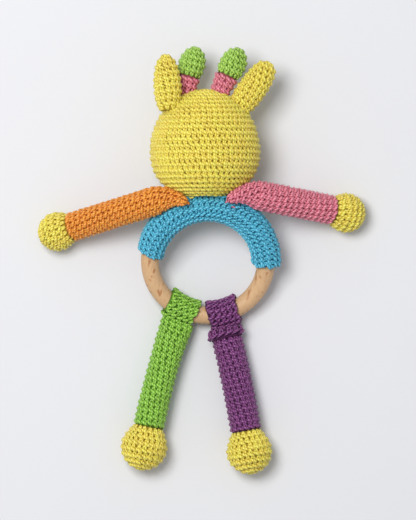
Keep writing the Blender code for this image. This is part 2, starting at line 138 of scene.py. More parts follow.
class ToyShape(PropertyGroup):
    """Driving sizes of the stuffed pieces."""

    ring_section: toy_size("Ring section", "Radius of the beech ring's section", 4.7)
    sleeve_section: toy_size("Sleeve section", "Outer radius of the sleeve's section", 7.3)
    loop_section: toy_size("Loop section", "Outer radius of a leg loop's section", 7.1)
    head_upper: toy_size("Head above", "Height of the head above its widest round", 31.4)
    head_lower: toy_size("Head below", "Depth of the head below its widest round", 24.2)
    arm_radius: toy_size("Arm radius", "Radius of an arm along its tube", 7.05)
    leg_radius: toy_size("Leg radius", "Radius of a leg along its tube", 7.5)
    ear_radius: toy_size("Ear radius", "Half the width of an ear at its widest", 6.6)


class StageLook(PropertyGroup):
    """The table, the lights and the camera."""

    floor: toy_colour("Table", "Colour of the table top", (0.75, 0.75, 0.765))
    key_power: FloatProperty(
        name="Key light", description="Power of the soft light", unit='POWER', default=12.5)
    fill: FloatProperty(
        name="Fill", description="Strength of the light from all round", default=0.46)
    camera_height: FloatProperty(
        name="Camera height", description="Height of the camera over the toy",
        default=2.2, unit='LENGTH')
    picture_height: FloatProperty(
        name="Picture height", description="Length of table that fills the picture upwards",
        default=0.2714, unit='LENGTH', precision=4)


def yarn_sizes():
    return bpy.context.scene.rattle_yarn


def shape():
    return bpy.context.scene.rattle_shape


def colour(name):
    return tuple(getattr(bpy.context.scene.rattle_colours, name))


# Where things are, read from the frame

def joint(name):
    """A joint's point and axis."""
    found = next(j for j in frame["joints"] if j["name"] == name)
    return np.array(found.get("pos_m", (0, 0, 0)), float), unit(np.array(found["axis"], float))


def unit(vectors):
    return vectors / np.maximum(np.linalg.norm(vectors, axis=-1, keepdims=True), 1e-12)


def corners(node):
    low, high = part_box(node)
    return np.array(low), np.array(high)


def node_points(node):
    return np.array([vertex.co for vertex in frame["nodes"][node].data.vertices])


def tip_of(node, direction):
    """The farthest point of a node in a direction."""
    points = node_points(node)
    return points[np.argmax(points @ direction)]


def ball_of(node, outward):
    """Middle and radius of a hand or foot, which is round at its outward end."""
    low, high = corners(node)
    radius = (high[2] - low[2]) / 2
    middle = (low + high) / 2
    for i in range(2):
        if outward[i]:
            middle[i] = (low[i] + radius) if outward[i] < 0 else (high[i] - radius)
    return middle, radius


class RingPlace:
    """The ring's own frame: middle, radius, and the directions in its tilted plane."""

    def __init__(self):
        self.middle, self.axis = joint(RING_TURN)
        low, high = corners("teething_ring")
        self.radius = (high[0] - low[0]) / 2 - shape().ring_section
        self.east = np.array((1.0, 0.0, 0.0))
        self.north = np.cross(self.axis, self.east)

    def turn_of(self, points):
        """Angle round the ring of each point, from -90 to 270 degrees."""
        flat = points - self.middle
        turn = np.arctan2(flat @ self.north, flat @ self.east)
        return np.where(turn < -pi / 2, turn + 2 * pi, turn)

    def surface(self, turn, around, radius):
        """Points at an angle round the ring and an angle round its section."""
        turn, around, radius = (np.asarray(x, float)[..., None] for x in (turn, around, radius))
        out = np.cos(turn) * self.east + np.sin(turn) * self.north
        reach = self.radius + radius * np.cos(around)
        return self.middle + reach * out + radius * np.sin(around) * self.axis


# Soft forms. place() takes the distance over the surface and the share of a round.

class Limb:
    """Hoops round a curved line, from a profile of (distance along the line, radius)."""

    closed = True          # its rounds have no ends
    samples = 240          # places along it where its hoops are worked out

    def __init__(self, line, profile, flatness=None, depth=1.0):
        profile = np.array(profile, float)
        steps = np.linalg.norm(np.diff(profile, axis=0), axis=1)
        reach = np.concatenate([[0], np.cumsum(steps)])
        self.length = reach[-1]
        self.at = np.linspace(0, self.length, self.samples)
        along = np.interp(self.at, reach, profile[:, 0])
        wide = np.interp(self.at, reach, profile[:, 1])
        self.wide = wide
        self.deep = wide * (depth if flatness is None else flatness(along))
        self.centre = line(along)
        step = 0.5 * MM
        run = unit(line(along + step) - line(along - step))
        self.across = unit(np.cross(run, UP))
        self.lift = np.cross(self.across, run)
        self.swelling = None

    def read(self, table, distance):
        if table.ndim == 1:
            return np.interp(distance, self.at, table)
        return np.stack([np.interp(distance, self.at, table[:, i]) for i in range(3)], -1)

    def place(self, distance, share):
        distance = np.clip(distance, 0, self.length)
        turn = 2 * pi * share
        wide = (self.read(self.wide, distance) * np.cos(turn))[..., None]
        deep = (self.read(self.deep, distance) * np.sin(turn))[..., None]
        across, lift = self.read(self.across, distance), self.read(self.lift, distance)
        points = self.read(self.centre, distance) + across * wide + lift * deep
        if self.swelling is not None:
            outward = across * np.cos(turn)[..., None] + lift * np.sin(turn)[..., None]
            points = points + outward * self.swell(distance, share)[..., None]
        return points

    def swell(self, distance, share):
        """How far the stuffing pushes the fabric out, between the places it was worked out."""
        distances, table = self.swelling
        row = np.interp(distance, distances, np.arange(len(distances)))
        column = share % 1 * table.shape[1]
        row_0 = np.clip(row.astype(int), 0, len(distances) - 2)
        column_0 = column.astype(int)
        u, v = row - row_0, column - column_0
        near, far = column_0 % table.shape[1], (column_0 + 1) % table.shape[1]
        low = table[row_0, near] * (1 - v) + table[row_0, far] * v
        high = table[row_0 + 1, near] * (1 - v) + table[row_0 + 1, far] * v
        return low * (1 - u) + high * u

    def normal(self, distance, share):
        distance = np.clip(distance, 0.3 * MM, self.length - 0.3 * MM)
        step = 0.25 * MM
        over = self.place(distance + step, share) - self.place(distance - step, share)
        round_it = self.place(distance, share + 0.01) - self.place(distance, share - 0.01)
        return unit(np.cross(over, round_it))

    def girth(self, distance):
        wide, deep = self.read(self.wide, distance), self.read(self.deep, distance)
        return 2 * pi * np.sqrt((wide ** 2 + deep ** 2) / 2)


class Wrap:
    """A strip folded round the ring: rounds run along the ring, one after another round it.

    It reaches from start to end, in angles round the ring, or, when given a half width, that
    far either side of their middle. thin is how much less its radius is at the end, and skew
    is how much sooner, in radians, that end comes on the ring's outer side."""

    closed = False

    @property
    def all_round(self):
        """Whether the strip's last round meets its first."""
        return self.high - self.low > 2 * pi - 0.01

    def __init__(self, ring, start, end, radius, low, high, half=None, thin=0.0, skew=0.0):
        self.ring, self.start, self.end = ring, start, end
        self.radius, self.low, self.high = radius, low, high
        self.half, self.thin, self.skew = half, thin, skew
        self.length = radius * (high - low)

    def reach(self, around):
        return self.ring.radius + self.radius * np.cos(around)

    def place(self, distance, share, depth=0.0):
        around = self.low + distance / self.radius
        if self.half is None:
            end = self.end - self.skew * (1 + np.cos(around)) / 2
            turn = self.start + (end - self.start) * share
        else:
            turn = (self.start + self.end) / 2 + self.half * (2 * share - 1) / self.reach(around)
        thinner = self.thin * np.clip((share - 0.75) / 0.25, 0, 1) ** 2
        return self.ring.surface(turn, around, self.radius - thinner - depth + 0 * turn)

    def inside(self, distance, share):
        wood = self.radius - shape().ring_section - 0.25 * MM
        return self.place(distance, share, wood)

    def normal(self, distance, share):
        return unit(self.place(distance, share, -MM) - self.place(distance, share))

    def girth(self, distance):
        if self.half is not None:
            return 2 * self.half
        return self.reach(self.low + distance / self.radius) * (self.end - self.start)


class Flap:
    """A short strip lying over a limb, from one distance along it to another."""

    closed = False
    all_round = False
    thickness = 1.3 * MM

    def __init__(self, limb, start, end, raised, cover):
        self.limb, self.start, self.raised, self.cover = limb, start, raised, cover
        self.length = end - start

    def place(self, distance, share, depth=0.0):
        over, turn = self.start + distance, 0.25 + self.cover * (0.5 - share)
        return self.limb.place(over, turn) + self.limb.normal(over, turn) * (self.raised - depth)

    def inside(self, distance, share):
        return self.place(distance, share, self.thickness)

    def normal(self, distance, share):
        return self.limb.normal(self.start + distance, 0.25 + self.cover * (0.5 - share))

    def girth(self, distance):
        return self.limb.girth(self.start + distance) * self.cover


def hoops(rounds, around):
    """The numbers of the points of a closed tube's hoops, and the faces between them."""
    index = np.arange(rounds * around).reshape(rounds, around)
    after = np.roll(index, -1, axis=1)
    faces = np.stack([index[:-1], index[1:], after[1:], after[:-1]], -1)
    return index, faces.reshape(-1, 4).tolist()


# Stuffing

SIM_SCALE = 10         # the cloth solver works best on pieces about this much larger
SIM_FRAMES = 20
SIM_PRESSURE = 4.0
SWELL_CAP = 0.9 * MM


def swollen(form, seed):
    """Let uneven stuffing push a form out, held at both ends, and keep the swelling in it."""
    rounds, around = 26, 28
    distances = np.linspace(0, form.length - 0.5 * MM, rounds)
    grid_d, grid_s = np.meshgrid(distances, np.arange(around) / around, indexing="ij")
    rest = form.place(grid_d, grid_s)
    index, faces = hoops(rounds, around)
    mesh = bpy.data.meshes.new("stuffed")
    mesh.from_pydata((rest.reshape(-1, 3) * SIM_SCALE).tolist(), [], faces)
    cloth = bpy.data.objects.new("stuffed", mesh)
    bpy.context.scene.collection.objects.link(cloth)
    sewn = cloth.vertex_groups.new(name="sewn")
    for ring_index in (0, 1, rounds - 1):
        sewn.add(index[ring_index].tolist(), 1.0, 'REPLACE')
    rng = np.random.default_rng(seed)
    lumps = rng.uniform(0.25, 1.0, (rounds // 4 + 2, around // 4))
    fill = cloth.vertex_groups.new(name="fill")
    for row in range(rounds):
        for column in range(around):
            fill.add([int(index[row, column])], float(lumps[row // 4, column // 4 % lumps.shape[1]]),
                     'REPLACE')
    settings = cloth.modifiers.new("cloth", 'CLOTH').settings
    settings.quality = 5
    settings.mass = 0.3
    settings.tension_stiffness = settings.compression_stiffness = 25
    settings.shear_stiffness = 10
    settings.bending_stiffness = 1.0
    settings.vertex_group_mass = "sewn"
    settings.use_pressure = True
    settings.uniform_pressure_force = SIM_PRESSURE
    settings.vertex_group_pressure = "fill"
    settings.effector_weights.gravity = 0
    cache = cloth.modifiers["cloth"].point_cache
    cache.frame_start, cache.frame_end = 1, SIM_FRAMES
    scene = bpy.context.scene
    for number in range(1, SIM_FRAMES + 1):
        scene.frame_set(number)
    moved = np.empty(rounds * around * 3)
    evaluated = cloth.evaluated_get(bpy.context.evaluated_depsgraph_get())
    evaluated.data.vertices.foreach_get("co", moved)
    scene.frame_set(1)
    bpy.data.objects.remove(cloth)
    shift = moved.reshape(rounds, around, 3) / SIM_SCALE - rest
    normal = form.normal(grid_d, grid_s)
    out = (shift * normal).sum(-1)
    out = out - np.median(out)
    out[0] = out[-1] = 0
    form.swelling = (distances, np.clip(out, -SWELL_CAP, SWELL_CAP))
    return form


# Laying the yarn

# One stitch, as lines of (along the round in stitches, up in rounds, height in yarn radii,
# thickness): the V comes up out of the hole below it and over that round's edge, and the
# loop lies along the round's own edge.
STITCH_V = np.array([
    (-0.30, 0.42, -0.70, 0.80),
    (-0.22, 0.08, -0.20, 0.90),
    (-0.14, -0.26, -0.05, 0.90),
    (-0.02, -0.60, -0.60, 0.80),
    (0.08, -0.28, 0.22, 0.94),
    (0.16, 0.06, 0.34, 1.00),
    (0.28, 0.44, -0.50, 0.86),
])
STITCH_LOOP = np.array([
    (-0.74, 0.18, -0.35, 0.86),
    (-0.30, 0.36, 0.84, 1.14),
    (0.18, 0.58, 1.04, 1.26),
    (0.66, 0.80, -0.30, 0.88),
])
SLIM_YARN = 0.93       # the dyed yarns are a little thinner than the yellow one
FEWEST_STITCHES = 5    # in a round
STRAY = 0.035          # how unevenly stitches lie, in stitches and in rounds
RISE_STRAY = 0.07      # in yarn radii
THICKNESS_STRAY = 0.05


def stitch_rows(form, start):
    """Distances of the rounds over a form, evenly spaced at about the round's height."""
    height = yarn_sizes().round_height
    room = form.length - start * height
    count = max(int(round(room / height)), 1)
    return [start * height + room * i / count for i in range(count)], room / count


def stitch_lines(form, template, rows, height, seed, turned, slim):
    """Middle lines, normals, radii and tones of one strand of every stitch on a form."""
    sizes = yarn_sizes()
    rng = np.random.default_rng(seed)
    lines, normals, radii, tones = [], [], [], []
    phase = 0.0
    for number, distance in enumerate(rows):
        count = max(int(round(form.girth(distance) / sizes.stitch_width)), FEWEST_STITCHES)
        way = -1 if turned and number % 2 else 1
        jitter = rng.normal(0, 1, (count, 4))
        up = template[None, :, 1] * height + jitter[:, 0, None] * STRAY * height
        place = (np.arange(count) + 0.5)[:, None] + jitter[:, 1, None] * STRAY + phase
        place = place + template[None, :, 0] + way * sizes.lean * template[None, :, 1]
        share = place / count
        if not form.closed:
            share = np.clip(share, 0.004, 0.996)
        over = distance + up
        normal = form.normal(over, share)
        rise = (template[None, :, 2] + jitter[:, 2, None] * RISE_STRAY) * sizes.yarn_radius
        lines.append(form.place(over, share) + normal * rise[..., None])
        normals.append(normal)
        thick = template[None, :, 3] * (1 + THICKNESS_STRAY * jitter[:, 3, None])
        radii.append(thick * slim * sizes.yarn_radius)
        tones.append(rng.uniform(0, 1, count))
        phase += way * sizes.lean if form.closed else (0.5 if number % 2 == 0 else -0.5)
    return [np.concatenate(parts) for parts in (lines, normals, radii, tones)]


def tube_parts(lines, normals, radii, tones):
    """Vertices, faces and their values for a tube round every line, closed at its ends."""
    sides = yarn_sizes().yarn_sides
    count, steps = lines.shape[:2]
    run = unit(np.gradient(lines, axis=1))
    side = unit(np.cross(run, normals))
    top = np.cross(side, run)
    turn = 2 * pi * np.arange(sides) / sides
    ring = side[:, :, None] * np.cos(turn)[:, None] + top[:, :, None] * np.sin(turn)[:, None]
    points = lines[:, :, None] + ring * radii[:, :, None, None]
    index = np.arange(count * steps * sides).reshape(count, steps, sides)
    after = np.roll(index, -1, axis=2)
    quads = np.stack([index[:, :-1], after[:, :-1], after[:, 1:], index[:, 1:]], -1).reshape(-1, 4)
    reach = np.concatenate([np.zeros((count, 1)), np.cumsum(
        np.linalg.norm(np.diff(lines, axis=1), axis=2), axis=1)], axis=1)
    reach = reach / yarn_sizes().yarn_radius + tones[:, None] * 7
    low_u = np.broadcast_to(reach[:, :-1, None], (count, steps - 1, sides))
    high_u = np.broadcast_to(reach[:, 1:, None], (count, steps - 1, sides))
    near = np.broadcast_to(np.arange(sides) / sides, (count, steps - 1, sides))
    uv = np.stack([np.stack([low_u, near], -1), np.stack([low_u, near + 1 / sides], -1),
                   np.stack([high_u, near + 1 / sides], -1), np.stack([high_u, near], -1)], -2)
    caps = np.concatenate([index[:, 0, ::-1], index[:, -1]])
    tone = np.repeat(tones, steps * sides)
    # Painted shade: each strand is darkened towards its ends, where they tuck into the holes, and on its
    # underside, which faces the fabric below.
    lit_middle = 1 - np.clip(np.abs(np.linspace(-1, 1, steps)) * 2.4 - 1.4, 0, 1)
    tuck = np.broadcast_to(lit_middle[None, :, None] * (0.7 + 0.3 * np.sin(turn)), (count, steps, sides))
    return dict(points=points.reshape(-1, 3), faces=quads.tolist() + caps.tolist(),
                uv=np.concatenate([uv.reshape(-1, 2), np.zeros((caps.size, 2))]),
                tone=tone, tuck=tuck.reshape(-1))


def shade_sheet_parts(form):
    """The closed skin under the yarn: a dark sheet of painted shade, seen between the stitches."""
    depth = yarn_sizes().lining_depth
    if form.closed:
        around = 40
        rounds = max(int(form.length / (1.2 * MM)), 8)
        last = form.length - (0.4 * MM if form.wide[-1] < 0.1 * MM else 0)
        distances = np.linspace(0, last, rounds)
        share = np.arange(around) / around
        grid_d, grid_s = np.meshgrid(distances, share, indexing="ij")
        points = form.place(grid_d, grid_s) - form.normal(grid_d, grid_s) * depth
        index, faces = hoops(rounds, around)
        faces += [index[0].tolist(), index[-1, ::-1].tolist()]
        points = points.reshape(-1, 3)
    else:
        steps = max(int(form.girth(0) / (1.5 * MM)), 6)
        share = np.linspace(0.012, 0.988, steps)
        distances = np.linspace(0, form.length, 25)
        if form.all_round:
            distances = distances[:-1]
        grid_s, grid_d = np.meshgrid(share, distances, indexing="ij")
        outer = form.place(grid_d, grid_s, depth)
        inner = form.inside(grid_d, grid_s)
        if form.all_round:
            stack = np.concatenate([outer, inner[::-1]])
            index = np.arange(stack.shape[0] * stack.shape[1]).reshape(stack.shape[:2])
            after, ahead = np.roll(index, -1, axis=1), np.roll(index, -1, axis=0)
            both = np.roll(ahead, -1, axis=1)
            faces = np.stack([index, after, both, ahead], -1).reshape(-1, 4).tolist()
        else:
            stack = np.concatenate([outer, inner[:, ::-1]], axis=1)
            index = np.arange(stack.shape[0] * stack.shape[1]).reshape(stack.shape[:2])
            after = np.roll(index, -1, axis=1)
            faces = np.stack([index[:-1], after[:-1], after[1:], index[1:]], -1).reshape(-1, 4).tolist()
            faces += [index[0, ::-1].tolist(), index[-1].tolist()]
        points = stack.reshape(-1, 3)
    corners_count = sum(len(face) for face in faces)
    return dict(points=points, faces=faces, uv=np.zeros((corners_count, 2)),
                tone=np.full(len(points), 0.5), tuck=np.zeros(len(points)))


def make_piece(name, parts, materials):
    """One object from several sets of parts, each with its own material."""
    points = np.concatenate([part["points"] for part in parts])
    faces, slots, start = [], [], 0
    used = list(dict.fromkeys(materials))
    for part, item in zip(parts, materials):
        faces += [[corner + start for corner in face] for face in part["faces"]]
        slots += [used.index(item)] * len(part["faces"])
        start += len(part["points"])
    mesh = bpy.data.meshes.new(name)
    mesh.from_pydata(points.tolist(), [], faces)
    layer = mesh.uv_layers.new(name="yarn")
    uv = np.concatenate([part["uv"] for part in parts]).astype(np.float32)
    layer.uv.foreach_set("vector", uv.ravel())
    for key in ("tone", "tuck"):
        values = np.concatenate([part[key] for part in parts]).astype(np.float32)
        mesh.attributes.new(key, 'FLOAT', 'POINT').data.foreach_set("value", values)
    mesh.polygons.foreach_set("material_index", np.array(slots, np.int32))
    mesh.shade_smooth()
    mesh.update()
    for item in used:
        mesh.materials.append(item)
    piece = bpy.data.objects.new(name, mesh)
    bpy.context.scene.collection.objects.link(piece)
    return piece


def crochet(name, form, dye, seed, start=0.5, turned=False):
    """A crocheted piece: its stitches over a dark sheet of painted shade."""
    rows, height = stitch_rows(form, start)
    slim = 1.0 if dye == "yellow" else SLIM_YARN
    parts = [tube_parts(*stitch_lines(form, template, rows, height, seed, turned, slim))
             for template in (STITCH_V, STITCH_LOOP)]
    cotton = yarn(dye)
    return make_piece(name, parts + [shade_sheet_parts(form)], [cotton, cotton, shade_sheet(dye)])


def stuffed(name, form, dye, seed, start=0.5):
    """A crocheted piece over its stuffing, which has a seed of its own."""
    return crochet(name, swollen(form, seed + 100), dye, seed, start)


def yarn_run(name, line, dye, radius, up=UP):
    """A single length of yarn along a line of points."""
    line = np.array(line)
    normals = np.broadcast_to(np.array(up, float), line.shape)
    radii = np.full((1, len(line)), radius)
    part = tube_parts(line[None], normals[None], radii, np.array([0.4]))
    part["tuck"] = np.ones(len(part["points"]))
    return make_piece(name, [part], [yarn(dye)])


# Shaders

class Socket:
    """A shader value that can be used in sums: each operator adds its node."""

    def __init__(self, graph, socket):
        self.graph, self.socket = graph, socket

    def sum(self, operation, *values):
        return self.graph.add("ShaderNodeMath", {"operation": operation}, *values)

    def __add__(self, other):
        return self.sum('ADD', self, other)

    __radd__ = __add__

    def __mul__(self, other):
        return self.sum('MULTIPLY', self, other)

    __rmul__ = __mul__

    def __sub__(self, other):
        return self.sum('SUBTRACT', self, other)

    def __rsub__(self, other):
        return self.sum('SUBTRACT', other, self)

    def __pow__(self, other):
        return self.sum('POWER', self, other)


class Graph:
    """A material's node tree, written as expressions."""

    def __init__(self, name):
        self.material = bpy.data.materials.new(name)
        self.material.use_nodes = True
        self.tree = self.material.node_tree
        self.shader = self.tree.nodes["Principled BSDF"]

    def add(self, kind, settings=None, *values, out=0, places=None, **named):
        """A node of any type: its settings, then values or links for its sockets, which are
        given in order, by their places or by their names."""
        node = self.tree.nodes.new(kind)
        for key, value in (settings or {}).items():
            setattr(node, key, value)
        for key, value in [*enumerate(values), *(places or {}).items(), *named.items()]:
            self.feed(node.inputs[key], value)
        return Socket(self, node.outputs[out])

    def feed(self, socket, value):
        if isinstance(value, Socket):
            self.tree.links.new(value.socket, socket)
        elif socket.type == 'RGBA' and len(value) == 3:
            socket.default_value = (*value, 1)
        else:
            socket.default_value = value

    def mix(self, share, low, high, blend='MIX'):
        """Two colours mixed. A Mix node keeps its colour sockets at places 6 and 7."""
        return self.add("ShaderNodeMix", {"data_type": 'RGBA', "blend_type": blend},
                        places={0: share, 6: low, 7: high}, out=2)

    def surface(self, **values):
        """Feed the shader's sockets by name, and give the finished material."""
        for key, value in values.items():
            self.feed(self.shader.inputs[key.replace("_", " ").title()], value)
        return self.material


def shade(tint, amount):
    """A colour made lighter or darker."""
    return tuple(min(c * amount, 1.0) for c in tint)


def painted_ply_highlight(tint):
    """A painted highlight: the lightened colour painted along the crest of a ply."""
    return tuple(min(1.35 * c + 0.12, 1.0) for c in tint)


def deep(tint):
    """Painted shade: a dyed yarn's colour darkened as it looks in the shade down between the stitches.
    """
    return tuple(0.62 * c ** 1.35 for c in tint)


def yarn(dye):
    """Mercerised cotton: twisted plies, a tone for each stitch, painted shade in the ply grooves, on the
    tucked ends and undersides, and painted highlights on the ply crests.
    """
    name = "cotton_" + dye
    found = bpy.data.materials.get(name)
    if found:
        return found
    tint = colour(dye)
    graph = Graph(name)
    tone = graph.add("ShaderNodeAttribute", {"attribute_name": "tone"}, out="Fac")
    tuck = graph.add("ShaderNodeAttribute", {"attribute_name": "tuck"}, out="Fac")
    coordinates = graph.add("ShaderNodeUVMap", {"uv_map": "yarn"})
    along = graph.add("ShaderNodeSeparateXYZ", None, coordinates, out="X")
    around = graph.add("ShaderNodeSeparateXYZ", None, coordinates, out="Y")
    twist = (along * PLY_RATE + around * PLIES) * (2 * pi)
    ply = twist.sum('SINE', twist) * 0.5 + 0.5
    fibres = graph.add("ShaderNodeTexNoise", {"noise_dimensions": '3D'}, coordinates,
                       Scale=6.0, Detail=2.0, Roughness=0.6)
    body = graph.mix(tone, shade(tint, 0.94), shade(tint, 1.2))
    # Painted shade in the grooves between the plies.
    groove_shaded = graph.mix((1 - ply) * 0.42, body, shade(tint, 0.6))
    # Painted highlight along the crests of the plies.
    with_painted_highlight = graph.mix(ply ** 3 * 0.8, groove_shaded, painted_ply_highlight(tint))
    # Painted shade: the tucked ends and undersides of the strands are darkened towards the deep colour.
    finished = graph.mix((1 - tuck) * 0.78, with_painted_highlight, deep(tint))
    height = ply + fibres * 0.25
    bump = graph.add("ShaderNodeBump", None, Strength=0.8, Distance=0.00025, Height=height)
    return graph.surface(base_color=finished, roughness=0.27 + 0.16 * fibres, normal=bump,
                         sheen_weight=0.05, sheen_roughness=0.4)


def shade_sheet(dye):
    """Painted shade: a dark sheet seen only between the stitches, standing in for the shade in the
    holes.
    """
    name = "lining_" + dye
    found = bpy.data.materials.get(name)
    if found:
        return found
    graph = Graph(name)
    place = graph.add("ShaderNodeTexCoord", out="Object")
    noise = graph.add("ShaderNodeTexNoise", None, place, Scale=900.0, Detail=2.0)
    tint = deep(colour(dye))
    seen = graph.mix(noise, shade(tint, 0.5), shade(tint, 0.9))
    return graph.surface(base_color=seen, roughness=0.9)


def beech():
    """Sanded beech: straight pale grain with short brown rays and fine pores."""
    graph = Graph("beech")
    place = graph.add("ShaderNodeTexCoord", out="Object")

    def stretched(scale):
        return graph.add("ShaderNodeMapping", None, place, Scale=scale)

    broad = graph.add("ShaderNodeTexNoise", None, stretched((55, 9, 55)), Scale=1.0, Detail=3.0)
    grain = graph.add("ShaderNodeTexNoise", None, stretched((900, 40, 900)), Scale=1.0, Detail=4.0)
    rays = graph.add("ShaderNodeTexNoise", None, stretched((410, 150, 410)), Scale=1.0, Detail=1.5)
    pores = graph.add("ShaderNodeTexNoise", None, stretched((2600, 420, 2600)), Scale=1.0, Detail=1.0)
    light, dark = colour("beech"), colour("beech_dark")
    tone = graph.mix(broad, shade(light, 0.84), shade(light, 1.28))
    grained = graph.mix(grain * 0.8, tone, shade(light, 0.68))
    ray_mask = graph.add("ShaderNodeMapRange", {"clamp": True}, rays, 0.60, 0.67, 0.0, 0.85)
    pore_mask = graph.add("ShaderNodeMapRange", {"clamp": True}, pores, 0.62, 0.72, 0.0, 0.45)
    flecked = graph.mix(ray_mask, grained, dark)
    finished = graph.mix(pore_mask, flecked, shade(dark, 0.9))
    height = grain * 0.4 - ray_mask * 0.3 - pore_mask * 0.4
    bump = graph.add("ShaderNodeBump", None, Strength=0.35, Distance=0.0002, Height=height)
    return graph.surface(base_color=finished, roughness=0.42 + grain * 0.2, normal=bump)


def moulded_plastic(name, tint, base_roughness):
    """Moulded plastic with faint flow marks."""
    graph = Graph(name)
    place = graph.add("ShaderNodeTexCoord", out="Object")
    flow = graph.add("ShaderNodeTexNoise", None, place, Scale=220.0, Detail=2.0)
    marked = graph.mix(flow, shade(tint, 0.94), shade(tint, 1.04))
    return graph.surface(base_color=marked, roughness=base_roughness + flow * 0.12)


# Profiles

def ball(middle, radius, reach=None, fullness=1.0):
    """From a ball's widest hoop to its pole."""
    reach = radius if reach is None else reach
    turns = np.linspace(0, pi / 2, 24)
    return [(middle + reach * np.sin(t), radius * max(np.cos(t), 0) ** fullness) for t in turns]


def soft_step(low, high, share):
    share = np.clip(share, 0, 1)
    return low + (high - low) * share * share * (3 - 2 * share)


def rounded_end(length, back, tube, end):
    """A hand's or foot's profile: it grows out of the limb's tube and ends in a ball."""
    return [(length - back * (1 - s), soft_step(tube, end, s ** 0.8))
            for s in np.linspace(0, 1, 10)] + ball(length, end)[1:]


def straight_line(start, end):
    """A line by distance from its start, running on past its end."""
    way = unit(end - start)

    def line(along):
        return start + np.asarray(along)[..., None] * way

    return line


def flattened(start, over, low):
    """A depth that eases from a low share of the width to the whole of it along a limb."""
    def flatness(along):
        return soft_step(low, 1, (along - start) / over)

    return flatness


def skin_radius(radius):
    """The radius that the middle of the yarn keeps, for an outer radius."""
    return radius - 0.75 * yarn_sizes().yarn_radius


# The pieces

class RATTLE_OT_teething_ring(Operator):
    """Turn the beech ring"""
    bl_idname = "rattle.teething_ring"
    bl_label = "Teething ring"

    def execute(self, context):
        ring = RingPlace()
        steps, sides = 144, 32
        turn, around = np.meshgrid(2 * pi * np.arange(steps) / steps,
                                   2 * pi * np.arange(sides) / sides, indexing="ij")
        wobble = 1 + 0.006 * np.sin(3 * turn + 1) + 0.004 * np.sin(5 * around + 2 * turn)
        points = ring.surface(turn, around, shape().ring_section * wobble).reshape(-1, 3)
        index = np.arange(steps * sides).reshape(steps, sides)
        ahead, beside = np.roll(index, -1, axis=0), np.roll(index, -1, axis=1)
        both = np.roll(ahead, -1, axis=1)
        faces = np.stack([index, ahead, both, beside], -1).reshape(-1, 4).tolist()
        part = dict(points=points, faces=faces, uv=np.zeros((len(faces) * 4, 2)),
                    tone=np.full(len(points), 0.5), tuck=np.ones(len(points)))
        piece = make_piece("beech_ring", [part], [beech()])
        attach(piece, "ring")
        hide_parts("teething_ring")
        return {'FINISHED'}


class RATTLE_OT_sleeve(Operator):
    """Crochet the blue strip round the ring and lace it shut"""
    bl_idname = "rattle.sleeve"
    bl_label = "Ring sleeve"

    def execute(self, context):
        ring = RingPlace()
        turns = ring.turn_of(node_points("ring_cover"))
        start, end = turns.min() + 0.006, turns.max() - 0.024
        radius = skin_radius(shape().sleeve_section)
        form = Wrap(ring, start, end, radius, -pi + 0.06, pi - 0.06, thin=1.0 * MM, skew=0.12)
        piece = crochet("blue_sleeve", form, "blue", seed=11, turned=True)
        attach(piece, "sleeve")
        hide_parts("ring_cover")

        stitches = 34
        share = np.linspace(0.01, 0.99, stitches * 4 + 1)
        swing = np.sin(np.linspace(0, stitches * pi, len(share)))
        line = ring.surface(start + (end - start) * share, pi + 0.16 * swing,
                            shape().sleeve_section - 0.3 * MM + 0 * share)
        lacing = yarn_run("sleeve_lacing", line, "blue", 0.42 * MM, up=ring.axis)
        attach(lacing, "sleeve")
        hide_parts("ring_cover_seam")
        return {'FINISHED'}


class RATTLE_OT_head(Operator):
    """Crochet the stuffed head and whip it to the sleeve"""
    bl_idname = "rattle.head"
    bl_label = "Head"

    def execute(self, context):
        piece = stuffed("yellow_head", head_form(), "yellow", seed=21)
        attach(piece, "head")
        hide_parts("head_cover", "head_stuffing")

        low, high = corners("neck_stitches")
        middle, half = (low + high) / 2, (high - low) / 2
        steps = 15
        turn = np.linspace(0, 2 * pi, steps * 6 + 1)
        zigzag = np.sin(turn * steps)
        reach = 0.84 + 0.04 * zigzag
        line = np.stack([middle[0] + half[0] * reach * np.cos(turn),
                         middle[1] - 0.2 * MM + 0.7 * MM * zigzag,
                         middle[2] + half[2] * reach * np.sin(turn)], -1)
        whipping = yarn_run("neck_whipping", line, "yellow", 0.5 * MM, up=(0, 1, 0))
        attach(whipping, "sleeve")
        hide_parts("neck_stitches")

        ring = RingPlace()
        at = ring.turn_of((middle - half * (0.87, 0, 0))[None])[0]
        curl = np.linspace(0, 1.8 * pi, 14)
        line = ring.surface(at - 0.07 + 0.03 * np.cos(curl), radians(24) + 0.15 * np.sin(curl),
                            shape().sleeve_section + (0.9 + 0.15 * curl) * MM)
        knot = yarn_run("neck_fastening", line, "yellow", 0.45 * MM, up=ring.axis)
        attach(knot, "sleeve")
        return {'FINISHED'}


def head_form():
    """The head is turned about a level line from its neck to its crown."""
    low, high = corners("head_cover")
    radius = (high[0] - low[0]) / 2
    middle = np.array(((low[0] + high[0]) / 2, high[1] - shape().head_upper, high[2] - radius))
    inner = skin_radius(radius)
    trim = radius - inner
    power = 2 / 2.3
    turns = np.linspace(1.32, 0, 24)
    profile = [(-(shape().head_lower - trim) * np.sin(t) ** power, inner * np.cos(t) ** power)
               for t in turns]
    profile += ball(0, inner, shape().head_upper - trim)[1:]
    return Limb(straight_line(middle, middle + (0, 1, 0)), profile)


